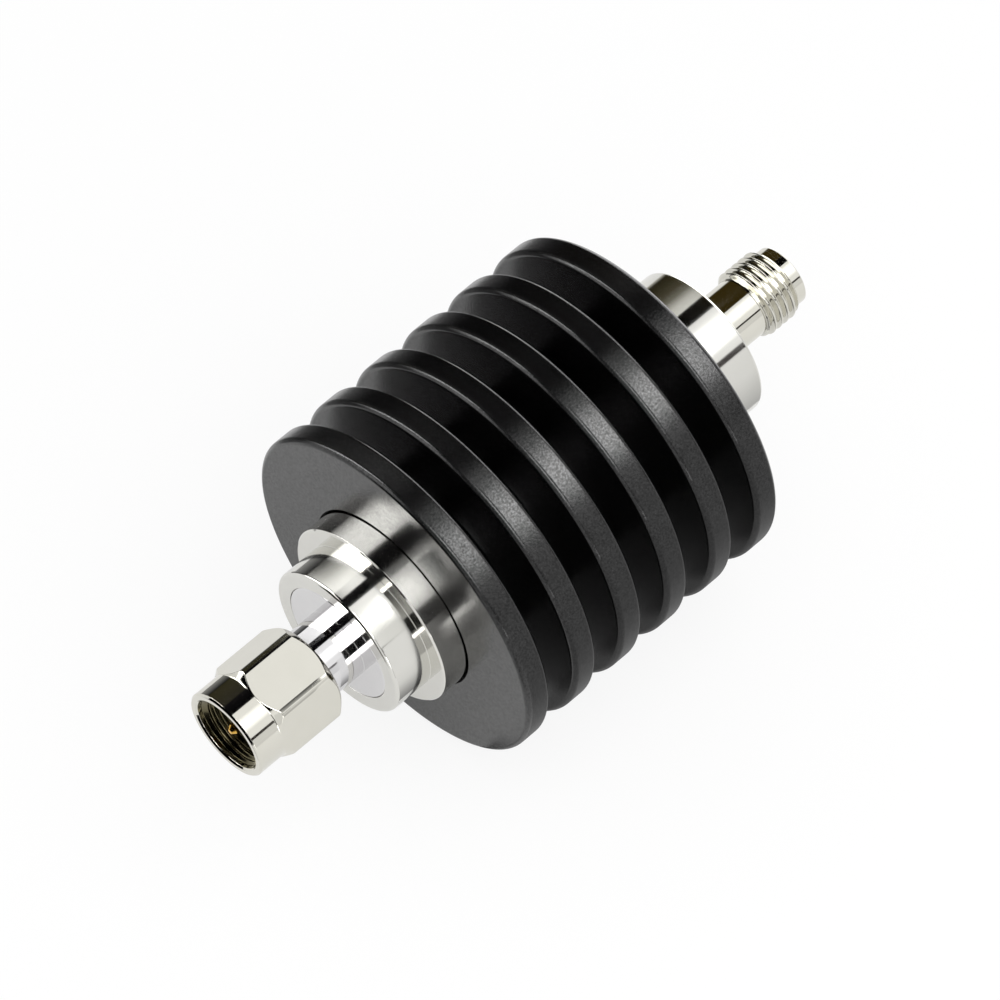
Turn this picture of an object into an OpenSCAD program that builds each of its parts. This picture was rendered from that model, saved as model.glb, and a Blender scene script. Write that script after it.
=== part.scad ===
// In-line coaxial attenuator with a finned heat sink, a plug at one end and a jack at the other.
// The common axis lies along X. The origin is on the axis at the plug's reference plane,
// the plug faces -X and the jack faces +X. All sizes are in millimetres.

/* [Heat sink] */
// Diameter over the round fins
fin_d = 30; // [24:0.5:40]
// Number of fins
fin_count = 6; // [4:1:9]
// Thickness of one fin
fin_t = 2.37; // [1.6:0.01:3.2]
// Space between two fins
fin_gap = 2.6; // [1.8:0.1:4]
// Bevel on the edges of the fins
fin_bevel = 0.3; // [0.1:0.05:0.6]
// Diameter of the solid middle that joins the fins
sink_middle_d = 16; // [15.5:0.1:21]

/* [Core body] */
// Diameter of the body, seen in front of and behind the heat sink
core_d = 13.4; // [12.5:0.1:15]
// Length of the front collar, from its face to the flange
collar_len = 3.5; // [2:0.1:6]
// Diameter of the flange in front of the heat sink
flange_d = 16.45; // [15.5:0.05:17.5]
// Length of the flange that shows in front of the heat sink
flange_len = 2.4; // [1.5:0.1:4]
// Depth by which the flange sits in the heat sink
flange_seat = 1; // [0.5:0.1:1.4]
// Width of the groove left round the seated flange
flange_groove = 0.15; // [0.1:0.05:0.4]
// Bevel on the flange's front edge
flange_bevel = 0.12; // [0.05:0.01:0.6]
// Length of the body that shows behind the heat sink
tail_len = 6.75; // [4:0.05:10]
// Bevel on the body's two end edges
core_bevel = 0.15; // [0.05:0.05:0.4]
// Diameter of the two pressed-in connector flanges
insert_d = 10.5; // [10.3:0.1:11.5]
// Length of the two pressed-in connector flanges
insert_len = 3; // [2:0.1:5]
// Bevel that shows as a fine seam round each connector flange
seam_bevel = 0.08; // [0.03:0.01:0.15]
// Diameter of the chamber inside the body
chamber_d = 10; // [9:0.1:10.2]

/* [Coupling nut] */
// Hexagon size across the flats
nut_af = 7.94; // [7.9:0.02:8.3]
// Length of the hexagon
nut_hex_len = 6.1; // [5:0.1:8]
// Diameter of the round nose in front of the hexagon
nut_nose_d = 7.88; // [7.5:0.02:7.88]
// Length of the round nose
nut_nose_len = 2.5; // [1.5:0.1:3.5]
// Distance from the nut's mouth to the reference plane
nut_reach = 2.9; // [2.6:0.05:3.4]
// Bevel on the nose, the mouth and the rear edge
nut_bevel = 0.15; // [0.05:0.05:0.25]
// Diameter of the plain mouth
nut_mouth_d = 6.5; // [6.4:0.05:6.8]
// Length of the plain mouth
nut_mouth_len = 0.5; // [0.3:0.1:1]
// Minor diameter of the nut's thread
nut_thread_d = 5.74; // [5.7:0.02:5.9]
// Diameter of the relief behind the thread
nut_relief_d = 6.3; // [6.3:0.05:6.7]
// Distance by which the thread stops short of the gasket's seat
nut_thread_short = 0.8; // [0.5:0.1:1.2]
// Length of the cone that turns off the hexagon's front corners
nut_cone_len = 0.85; // [0.4:0.05:1.5]
// Angle of the hexagon about the axis
nut_turn = 43.5; // [0:0.1:60]

/* [Plug] */
// Outer diameter of the plug's front tube
port_d = 4.58; // [4.5:0.01:4.6]
// Length of the plug's front tube
port_len = 2; // [1.9:0.05:2.4]
// Diameter of the step that carries the gasket
gasket_seat_d = 5; // [4.95:0.05:5.2]
// Outer diameter of the gasket
gasket_d = 6; // [5.6:0.05:6]
// Thickness of the gasket
gasket_t = 0.7; // [0.4:0.05:1]
// Height by which the gasket stands over its step
gasket_proud = 0.1; // [0.05:0.01:0.15]
// Diameter of the shank where the nut turns on it
shank_d = 5.4; // [5.3:0.02:5.6]
// Diameter of the shank where it shows behind the nut
shank_wide_d = 6; // [5.7:0.05:6.6]
// Length of the shank that shows between the nut and the collar
shank_len = 3.2; // [1:0.1:6]
// Outer diameter of the split retaining ring
ring_d = 5.94; // [5.8:0.02:6]
// Thickness of the retaining ring
ring_t = 0.5; // [0.3:0.05:0.7]
// Width of the split in the retaining ring
ring_split = 1.2; // [0.6:0.1:2]
// Depth of the ring's groove in the shank
ring_groove_depth = 0.25; // [0.15:0.01:0.3]
// Diameter of the centre pin in front of the reference plane
pin_d = 0.915; // [0.9:0.005:0.94]
// Length of the centre pin in front of the reference plane
pin_reach = 2.4; // [2.2:0.05:2.55]
// Length of the tapered tip of the centre pin
pin_tip_len = 0.3; // [0.2:0.05:0.6]
// Diameter at the end of the tapered tip
pin_tip_d = 0.4; // [0.2:0.05:0.6]

/* [Jack] */
// Diameter of the shank between the body and the thread
jack_shank_d = 5.24; // [5:0.02:5.5]
// Length of that shank
jack_shank_len = 4.6; // [2:0.1:8]
// Outer diameter of the thread
jack_thread_d = 6.2; // [6.1:0.01:6.35]
// Length of the thread
jack_thread_len = 3.4; // [3:0.1:6]
// Bevel at both ends of the thread
jack_thread_bevel = 0.3; // [0.1:0.05:0.4]
// Diameter of the smooth pilot tip
pilot_d = 5.3; // [5.28:0.01:5.49]
// Length of the smooth pilot tip
pilot_len = 1.1; // [0.6:0.05:1.5]
// Bevel on the pilot tip's end edge
pilot_bevel = 0.12; // [0.05:0.01:0.2]
// Diameter of the counterbore that takes the plug's front tube
counterbore_d = 4.62; // [4.6:0.01:4.65]
// Depth of the counterbore, down to the jack's reference plane
counterbore_len = 1.93; // [1.88:0.01:1.98]
// Diameter of the socket in the jack's contact
socket_d = 0.94; // [0.92:0.005:0.96]
// Depth of the socket
socket_len = 3; // [2.6:0.1:4]
// Width of the slots in the socket
slot_w = 0.14; // [0.1:0.01:0.16]
// Length of the slots in the socket
slot_len = 2.4; // [1.5:0.1:2.5]
// Distance by which the contact stays behind the jack's reference plane
contact_recess = 0.05; // [0.02:0.01:0.2]

/* [Coaxial line] */
// Diameter of the front insulators
line_d = 4.1; // [4.06:0.01:4.16]
// Diameter of the conductors inside the insulators
conductor_d = 1.27; // [1.24:0.01:1.3]
// Diameter of the rear support beads
bead_d = 5; // [4.8:0.1:6]
// Length of the rear support beads
bead_len = 10; // [4:0.5:10.5]
// Diameter of the shoulder that each bead holds
shoulder_d = 2; // [1.6:0.1:3]
// Length of that shoulder
shoulder_len = 0.8; // [0.4:0.1:1.5]
// Length by which each conductor reaches into the chamber
conductor_tail = 0.9; // [0.6:0.1:1.5]

/* [Attenuator element] */
// Length of the ceramic chip
chip_len = 8; // [5:0.5:9]
// Width of the ceramic chip
chip_w = 5; // [3:0.5:6]
// Thickness of the ceramic chip
chip_t = 0.64; // [0.4:0.01:1]
// Length of the carrier and its cap
carrier_len = 14; // [13.5:0.5:20]
// Depth of the channel beside the chip's pedestal
channel_depth = 2; // [1.8:0.1:2.5]
// Width of the channel in the cap
cap_channel_w = 4; // [2.5:0.5:5]
// Height of the channel in the cap
cap_channel_h = 2; // [1.2:0.1:3]
// Width of the ribbon leads
tab_w = 1; // [0.6:0.05:1.1]
// Thickness of the ribbon leads
tab_t = 0.15; // [0.1:0.01:0.2]
// Length by which each lead lies on the chip
tab_overlap = 1; // [0.5:0.1:1.5]

/* [Clearances] */
// Gap round pieces that are seated in one another
seat_gap = 0.02; // [0.01:0.005:0.03]
// Gap between the shank and the nut that turns on it
running_gap = 0.05; // [0.03:0.01:0.08]
// Gap between the nut and what stands still inside it
nut_gap = 0.15; // [0.1:0.01:0.2]
// Gap on each side of the chip
chip_gap = 0.1; // [0.05:0.01:0.2]

/* [Hidden] */
$fn = 96;

// Cutters reach this far past the faces they open
cut = 1;

// Stations along the axis, from the plug to the jack
nut_front = -nut_reach;
hex_front = nut_front + nut_nose_len;
nut_rear = hex_front + nut_hex_len;
shank_front = port_len + gasket_t - gasket_proud;
ring_mid = (shank_front + nut_rear) / 2;
collar_front = nut_rear + shank_len;
flange_front = collar_front + collar_len;
sink_front = flange_front + flange_len;
fin_pitch = fin_t + fin_gap;
sink_rear = sink_front + (fin_count - 1) * fin_pitch + fin_t;
core_rear = sink_rear + tail_len;
thread_front = core_rear + jack_shank_len;
pilot_front = thread_front + jack_thread_len;
jack_end = pilot_front + pilot_len;
jack_ref = jack_end - counterbore_len;
carrier_mid = (sink_front + sink_rear) / 2;
carrier_front = carrier_mid - carrier_len / 2;
carrier_rear = carrier_mid + carrier_len / 2;
plug_bead_front = carrier_front - bead_len;
jack_bead_rear = carrier_rear + bead_len;

// Sizes that follow from a fit
hex_corner_d = nut_af / cos(30);
nut_bearing_d = shank_d + 2 * running_gap;
nut_groove_d = ring_d + 2 * nut_gap;
ring_groove_d = shank_d - 2 * ring_groove_depth;
chip_top = -tab_t;
chip_floor = chip_top - chip_t;
channel_w = chip_w + 2 * chip_gap;

// Turns its child's Z axis into the part's X axis
module along_x() {
    rotate([0, 90, 0]) children();
}

// Solid of revolution about X. Each point is [radius, station]
module turned(points) {
    along_x() rotate_extrude() polygon(points);
}

// Plain round bar from one station to another
module bar(d, from, to) {
    along_x() translate([0, 0, from]) cylinder(d = d, h = to - from);
}

// Round bar with a bevel on each end edge
module bevelled_bar(d, from, to, front_bevel, rear_bevel) {
    r = d / 2;
    turned([
        [0, from], [r - front_bevel, from], [r, from + front_bevel],
        [r, to - rear_bevel], [r - rear_bevel, to], [0, to]
    ]);
}

// Cone from one diameter to another
module taper(d_from, d_to, from, to) {
    along_x() translate([0, 0, from]) cylinder(d1 = d_from, d2 = d_to, h = to - from);
}

// Block given by its ends along X, its width along Y and its heights along Z
module block(from, to, width, low, high) {
    translate([from, -width / 2, low]) cube([to - from, width, high - low]);
}

module heat_sink() {
    color("#2b2b2d") difference() {
        union() {
            bar(sink_middle_d, sink_front, sink_rear);
            for (i = [0 : fin_count - 1]) {
                fin_front = sink_front + i * fin_pitch;
                bevelled_bar(fin_d, fin_front, fin_front + fin_t, fin_bevel, fin_bevel);
            }
        }
        bar(core_d + 2 * seat_gap, sink_front - cut, sink_rear + cut);
        bar(flange_d + 2 * flange_groove, sink_front - cut, sink_front + flange_seat);
    }
}

module core_body() {
    color("#d6d4cf") difference() {
        union() {
            bevelled_bar(core_d, collar_front, core_rear, core_bevel, core_bevel);
            bevelled_bar(flange_d, flange_front, sink_front + flange_seat, flange_bevel, 0);
        }
        bar(chamber_d, collar_front, core_rear);
        bar(insert_d + 2 * seat_gap, collar_front - cut, collar_front + insert_len);
        bar(insert_d + 2 * seat_gap, core_rear - insert_len, core_rear + cut);
    }
}

module plug_shell() {
    groove_half = ring_t / 2 + seat_gap;
    color("#d2d0cb") difference() {
        union() {
            bar(port_d, 0, port_len);
            bar(gasket_seat_d, port_len, shank_front);
            bar(shank_d, shank_front, collar_front);
            bar(shank_wide_d, nut_rear + nut_gap, collar_front);
            bevelled_bar(insert_d, collar_front, collar_front + insert_len, seam_bevel, 0);
            bar(chamber_d - 2 * seat_gap, collar_front + insert_len, carrier_front);
        }
        bar(line_d + 2 * seat_gap, -cut, plug_bead_front);
        bar(bead_d + 2 * seat_gap, plug_bead_front, carrier_front + cut);
        difference() {
            bar(shank_d + cut, ring_mid - groove_half, ring_mid + groove_half);
            bar(ring_groove_d, ring_mid - ring_t, ring_mid + ring_t);
        }
    }
}

// Hexagon whose corners are turned off at both ends
module nut_hexagon() {
    front_r = nut_nose_d / 2;
    rear_r = nut_af / 2 - nut_bevel;
    corner_r = hex_corner_d / 2;
    intersection() {
        rotate([nut_turn, 0, 0])
            along_x() translate([0, 0, hex_front]) cylinder(d = hex_corner_d, h = nut_hex_len, $fn = 6);
        turned([
            [0, hex_front], [front_r, hex_front], [corner_r, hex_front + nut_cone_len],
            [corner_r, nut_rear - corner_r + rear_r], [rear_r, nut_rear], [0, nut_rear]
        ]);
    }
}

// Everything that is bored out of the nut
module nut_bores() {
    mouth_rear = nut_front + nut_mouth_len;
    mouth_taper = (nut_mouth_d - nut_thread_d) / 2;
    thread_rear = port_len - nut_thread_short;
    relief_rear = shank_front + nut_gap;
    groove_half = ring_t / 2 + nut_gap;
    taper(nut_mouth_d + 2 * (nut_bevel + cut), nut_mouth_d, nut_front - cut, nut_front + nut_bevel);
    bar(nut_mouth_d, nut_front, mouth_rear);
    taper(nut_mouth_d, nut_thread_d, mouth_rear, mouth_rear + mouth_taper);
    bar(nut_thread_d, nut_front, thread_rear);
    bar(nut_relief_d, thread_rear, relief_rear);
    bar(nut_groove_d, ring_mid - groove_half, ring_mid + groove_half);
    bar(nut_bearing_d, thread_rear, nut_rear + cut);
}

module coupling_nut() {
    color("#e2e1d9") difference() {
        union() {
            bevelled_bar(nut_nose_d, nut_front, hex_front + cut, nut_bevel, 0);
            nut_hexagon();
        }
        nut_bores();
    }
}

module nut_retaining_ring() {
    color("#b58d4a") difference() {
        bar(ring_d, ring_mid - ring_t / 2, ring_mid + ring_t / 2);
        bar(ring_groove_d + 2 * seat_gap, ring_mid - ring_t, ring_mid + ring_t);
        block(ring_mid - ring_t, ring_mid + ring_t, ring_split, 0, ring_d);
    }
}

module plug_gasket() {
    color("#6b2a1c") difference() {
        bar(gasket_d, shank_front - gasket_t, shank_front);
        bar(gasket_seat_d + 2 * seat_gap, shank_front - gasket_t - cut, shank_front + cut);
    }
}

module plug_centre_pin() {
    tail_end = carrier_front + conductor_tail;
    color("#d3a648") difference() {
        union() {
            taper(pin_tip_d, pin_d, -pin_reach, pin_tip_len - pin_reach);
            bar(pin_d, pin_tip_len - pin_reach, 0);
            bar(conductor_d, 0, tail_end);
            bar(shoulder_d, plug_bead_front, plug_bead_front + shoulder_len);
        }
        block(carrier_front, tail_end + cut, 2 * conductor_d, chip_top, 0);
    }
}

module plug_dielectric() {
    color("#f4f3ee") difference() {
        bar(line_d, 0, plug_bead_front);
        bar(conductor_d + 2 * seat_gap, -cut, plug_bead_front + cut);
    }
}

module plug_support_bead() {
    color("#c9b184") difference() {
        bar(bead_d, plug_bead_front, carrier_front);
        bar(conductor_d + 2 * seat_gap, plug_bead_front - cut, carrier_front + cut);
        bar(shoulder_d + 2 * seat_gap, plug_bead_front - cut, plug_bead_front + shoulder_len);
    }
}

module plug_lead_tab() {
    color("#dcb257")
        block(carrier_front, carrier_mid - chip_len / 2 + tab_overlap, tab_w, chip_top, 0);
}

module attenuator_chip() {
    color("#e6e4df")
        block(carrier_mid - chip_len / 2, carrier_mid + chip_len / 2, chip_w, chip_floor, chip_top);
}

module chip_carrier() {
    color("#b87348") difference() {
        bar(chamber_d - 2 * seat_gap, carrier_front, carrier_rear);
        block(carrier_front - cut, carrier_rear + cut, 2 * chamber_d, 0, chamber_d);
        block(carrier_front - cut, carrier_rear + cut, channel_w, chip_floor, chamber_d);
        block(carrier_front - cut, carrier_mid - chip_len / 2, channel_w, -channel_depth, chamber_d);
        block(carrier_mid + chip_len / 2, carrier_rear + cut, channel_w, -channel_depth, chamber_d);
    }
}

module carrier_cap() {
    color("#c08055") difference() {
        bar(chamber_d - 2 * seat_gap, carrier_front, carrier_rear);
        block(carrier_front - cut, carrier_rear + cut, 2 * chamber_d, -chamber_d, 0);
        block(carrier_front - cut, carrier_rear + cut, cap_channel_w, -cut, cap_channel_h);
    }
}

module jack_lead_tab() {
    color("#dcb257")
        block(carrier_mid + chip_len / 2 - tab_overlap, carrier_rear, tab_w, chip_top, 0);
}

module jack_support_bead() {
    color("#c9b184") difference() {
        bar(bead_d, carrier_rear, jack_bead_rear);
        bar(conductor_d + 2 * seat_gap, carrier_rear - cut, jack_bead_rear + cut);
        bar(shoulder_d + 2 * seat_gap, jack_bead_rear - shoulder_len, jack_bead_rear + cut);
    }
}

module jack_contact() {
    tail_end = carrier_rear - conductor_tail;
    mouth = jack_ref - contact_recess;
    color("#d3a648") difference() {
        union() {
            bar(conductor_d, tail_end, mouth);
            bar(shoulder_d, jack_bead_rear - shoulder_len, jack_bead_rear);
        }
        block(tail_end - cut, carrier_rear, 2 * conductor_d, chip_top, 0);
        bar(socket_d, mouth - socket_len, mouth + cut);
        for (angle = [45, 135])
            rotate([angle, 0, 0])
                block(mouth - slot_len, mouth + cut, slot_w, -conductor_d, conductor_d);
    }
}

module jack_dielectric() {
    color("#f4f3ee") difference() {
        bar(line_d, jack_bead_rear, jack_ref);
        bar(conductor_d + 2 * seat_gap, jack_bead_rear - cut, jack_ref + cut);
    }
}

module jack_shell() {
    insert_front = core_rear - insert_len;
    color("#d2d0cb") difference() {
        union() {
            bar(chamber_d - 2 * seat_gap, carrier_rear, insert_front);
            bevelled_bar(insert_d, insert_front, core_rear, 0, seam_bevel);
            bar(jack_shank_d, core_rear, thread_front + cut);
            bevelled_bar(jack_thread_d, thread_front, pilot_front, jack_thread_bevel, jack_thread_bevel);
            bevelled_bar(pilot_d, pilot_front - cut, jack_end, 0, pilot_bevel);
        }
        bar(bead_d + 2 * seat_gap, carrier_rear - cut, jack_bead_rear);
        bar(line_d + 2 * seat_gap, jack_bead_rear, jack_end);
        bar(counterbore_d, jack_ref, jack_end + cut);
    }
}

heat_sink();
core_body();
plug_shell();
coupling_nut();
nut_retaining_ring();
plug_gasket();
plug_centre_pin();
plug_dielectric();
plug_support_bead();
plug_lead_tab();
attenuator_chip();
chip_carrier();
carrier_cap();
jack_lead_tab();
jack_support_bead();
jack_contact();
jack_dielectric();
jack_shell();
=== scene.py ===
"""Studio picture of an in-line coaxial attenuator.

A black finned cooler sits on a bright plated body, with a plug and its coupling nut at the
front end and a threaded jack at the rear end. The common axis lies along X. The turned
pieces that show are surfaces worked out here at the frame's own sizes, with the fine threads
and softened edges that catch the light. The pieces inside keep their frame meshes and get a
finish. Lengths are in millimetres until a mesh is made, and in metres after that.
"""

import logging
import math
from collections.abc import Callable, Sequence
from dataclasses import dataclass, replace
from enum import Enum

import bpy
import numpy as np
from mathutils import Matrix, Vector


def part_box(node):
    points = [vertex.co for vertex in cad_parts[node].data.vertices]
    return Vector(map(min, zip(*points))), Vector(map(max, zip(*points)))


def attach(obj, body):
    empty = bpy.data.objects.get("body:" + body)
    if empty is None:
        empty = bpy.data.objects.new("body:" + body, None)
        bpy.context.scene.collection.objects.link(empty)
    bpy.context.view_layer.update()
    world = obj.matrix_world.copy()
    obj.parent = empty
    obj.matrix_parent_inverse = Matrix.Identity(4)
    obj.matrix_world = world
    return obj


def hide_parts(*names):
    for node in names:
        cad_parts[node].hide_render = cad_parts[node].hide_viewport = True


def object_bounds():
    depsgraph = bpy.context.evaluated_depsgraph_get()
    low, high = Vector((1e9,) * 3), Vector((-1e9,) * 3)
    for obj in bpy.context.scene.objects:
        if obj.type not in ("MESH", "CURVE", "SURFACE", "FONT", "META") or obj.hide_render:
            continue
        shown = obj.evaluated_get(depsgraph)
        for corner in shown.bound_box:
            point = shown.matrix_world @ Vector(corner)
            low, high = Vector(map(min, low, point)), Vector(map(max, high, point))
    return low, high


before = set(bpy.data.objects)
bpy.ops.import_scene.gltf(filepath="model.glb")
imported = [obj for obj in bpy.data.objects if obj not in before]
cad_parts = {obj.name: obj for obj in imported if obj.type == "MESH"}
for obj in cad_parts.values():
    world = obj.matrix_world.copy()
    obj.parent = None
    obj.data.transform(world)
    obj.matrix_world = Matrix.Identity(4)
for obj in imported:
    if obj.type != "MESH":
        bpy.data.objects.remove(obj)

CAD_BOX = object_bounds()
MM = 0.001
COLUMNS = 192
ARC_POINTS = 5
BEND_POINTS = 25
SLOPE_STEP = 1e-4
CLOUD_DETAIL = 4.0
MARKS_DETAIL = 2.0
NOISE_RANGE = (0.3, 0.7)
MIDDLE_SHINE = 0.5
log = logging.getLogger("attenuator")

Pair = tuple[float, float]
Outline = Sequence[Pair] | np.ndarray
Radii = float | Sequence[float] | np.ndarray
Colour = tuple[float, float, float, float]
Tree = bpy.types.NodeTree
Socket = bpy.types.NodeSocket
Setting = float | str | bool | tuple[float, ...] | Socket


class Relief(Enum):
    """What the fine relief of a finish follows."""

    RINGS = "rings about the axis, as a lathe leaves them"
    GRAIN = "even grain in every direction"


@dataclass(frozen=True)
class Rows:
    """Part of a surface as rows of points, each row once round the axis.

    Attributes:
        places: points in millimetres, shaped rows by columns by 3.
        normals: unit vectors that point out of the solid, of the same shape.
    """

    places: np.ndarray
    normals: np.ndarray


def linear(code: str) -> Colour:
    """Turns an sRGB hex colour into linear light.

    Args:
        code: colour as "#rrggbb".

    Returns:
        Red, green and blue in linear light, with an alpha of 1.
    """
    parts = np.array([int(code[i:i + 2], 16) for i in (1, 3, 5)]) / 255
    light = np.where(parts <= 0.04045, parts / 12.92, ((parts + 0.055) / 1.055) ** 2.4)
    return (*light.tolist(), 1.0)


def add_node(tree: Tree, kind: str, inputs: dict[str | int, Setting] | None = None,
             **settings: Setting) -> bpy.types.Node:
    """Adds a shader node with its settings and links.

    Args:
        tree: node tree that gets the node.
        kind: Blender's name of the node's type.
        inputs: socket to a value, or to the output socket that feeds it.
        settings: the node's own properties.

    Returns:
        The new node.
    """
    node = tree.nodes.new(kind)
    for name, value in settings.items():
        setattr(node, name, value)
    for socket, value in (inputs or {}).items():
        if isinstance(value, Socket):
            tree.links.new(value, node.inputs[socket])
        else:
            node.inputs[socket].default_value = value
    return node


def box_of(node: str) -> tuple[Vector, Vector]:
    """Gives a frame node's lowest and highest corner in millimetres."""
    low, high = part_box(node)
    return low / MM, high / MM


def quarter_left(vectors: np.ndarray) -> np.ndarray:
    """Turns plane vectors by a quarter to the left: (a, b) becomes (-b, a)."""
    return np.stack([-vectors[..., 1], vectors[..., 0]], -1)


def soften(corners: Outline, radii: Radii, closed: bool = True) -> tuple[np.ndarray, np.ndarray]:
    """Rounds the corners of an outline and gives its exact normals.

    A corner where the heading turns by d gets an arc of radius f. The arc leaves the incoming
    edge f * tan(|d| / 2) before the corner and meets the outgoing edge without a kink, with
    its points at equal shares of the turn. The normal is the heading turned a quarter left,
    so an outline that runs clockwise has its normals outside.

    Args:
        corners: corner points of the outline, in order.
        radii: arc radius of all corners or of each.
        closed: whether the last corner joins the first. An open outline keeps its two ends.

    Returns:
        Points and normals, each shaped points by 2.
    """
    corner = np.asarray(corners, float)
    radius = np.broadcast_to(radii, len(corner))
    leaving = np.roll(corner, -1, 0) - corner
    leaving /= np.linalg.norm(leaving, axis=1, keepdims=True)
    coming = np.roll(leaving, 1, 0)
    cross = coming[:, 0] * leaving[:, 1] - coming[:, 1] * leaving[:, 0]
    turn = np.arctan2(cross, (coming * leaving).sum(1))
    start = corner - coming * (radius * np.tan(np.abs(turn) / 2))[:, None]
    first = quarter_left(coming)
    bend = (np.sign(turn) * radius)[:, None]
    angle = (turn[:, None] * np.linspace(0, 1, ARC_POINTS))[..., None]
    normals = first[:, None] * np.cos(angle) + quarter_left(first)[:, None] * np.sin(angle)
    points = (start + first * bend)[:, None] - bend[:, None] * normals
    if closed:
        return points.reshape(-1, 2), normals.reshape(-1, 2)
    ends = quarter_left(leaving)
    points = np.vstack([corner[:1], points[1:-1].reshape(-1, 2), corner[-1:]])
    normals = np.vstack([ends[:1], normals[1:-1].reshape(-1, 2), ends[-2:-1]])
    return points, normals


def carry_round(pairs: np.ndarray, around: np.ndarray) -> np.ndarray:
    """Carries pairs round the axis: (x, r) at angle a becomes (x, r cos a, r sin a).

    Args:
        pairs: station and radius, or the same parts of a normal, shaped points by 2.
        around: angles about the axis, from +Y towards +Z.

    Returns:
        Vectors shaped points by angles by 3.
    """
    station, radius = pairs[:, :1], pairs[:, 1:]
    parts = np.broadcast_arrays(station, radius * np.cos(around), radius * np.sin(around))
    return np.stack(parts, -1)


def turned(corners: Outline, radii: Radii, around: np.ndarray, closed: bool = True) -> Rows:
    """Makes rows of a turned surface from its softened outline.

    Args:
        corners: stations and radii of the outline's corners, clockwise.
        radii: arc radius of all corners or of each.
        around: angles of the columns.
        closed: whether the outline closes on itself.

    Returns:
        The rows, one for each point of the outline.
    """
    points, normals = soften(corners, radii, closed)
    return Rows(carry_round(points, around), carry_round(normals, around))


def even_columns() -> np.ndarray:
    """Gives the angles of evenly spaced columns."""
    return np.arange(COLUMNS) * (2 * math.pi / COLUMNS)


def threaded(radius: Callable[[np.ndarray, np.ndarray], np.ndarray], stations: np.ndarray,
             around: np.ndarray, side: int) -> Rows:
    """Makes rows of a threaded surface whose radius depends on station and angle.

    With radius r(x, a) the normal is e_r - (dr/dx) e_x - (dr/da / r) e_a, made unit long and
    turned round for a bore. The slopes come from central differences.

    Args:
        radius: gives the radius at stations and angles.
        stations: stations of the rows.
        around: angles of the columns.
        side: 1 for an outside surface, -1 for a bore.

    Returns:
        The rows in the order of the stations.
    """
    step = SLOPE_STEP
    x, a = stations[:, None], around[None, :]
    r = radius(x, a)
    along = (radius(x + step, a) - radius(x - step, a)) / (2 * step)
    across = (radius(x, a + step) - radius(x, a - step)) / (2 * step) / r
    cosine, sine = np.cos(a), np.sin(a)
    places = np.stack(np.broadcast_arrays(x, r * cosine, r * sine), -1)
    normals = np.stack([-along, cosine + across * sine, sine - across * cosine], -1)
    normals *= side / np.linalg.norm(normals, axis=-1, keepdims=True)
    return Rows(places, normals)


def put_piece(name: str, blocks: Sequence[Rows]) -> bpy.types.Object:
    """Makes one solid from blocks of rows that follow each other, the last joined to the first.

    Args:
        name: name of the piece.
        blocks: rows in the order in which they are joined.

    Returns:
        The new object, at the origin, with its place in its mesh.
    """
    places = np.concatenate([block.places for block in blocks])
    normals = np.concatenate([block.normals for block in blocks])
    rows, columns = places.shape[:2]
    here = np.arange(rows * columns).reshape(rows, columns)
    after = np.roll(here, -1, 0)
    quads = np.stack([here, np.roll(here, -1, 1), np.roll(after, -1, 1), after], -1)
    mesh = bpy.data.meshes.new(name)
    mesh.from_pydata((places.reshape(-1, 3) * MM).tolist(), [], quads.reshape(-1, 4).tolist())
    mesh.shade_smooth()
    mesh.normals_split_custom_set_from_vertices(normals.reshape(-1, 3).tolist())
    piece = bpy.data.objects.new(name, mesh)
    bpy.context.scene.collection.objects.link(piece)
    return piece


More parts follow.
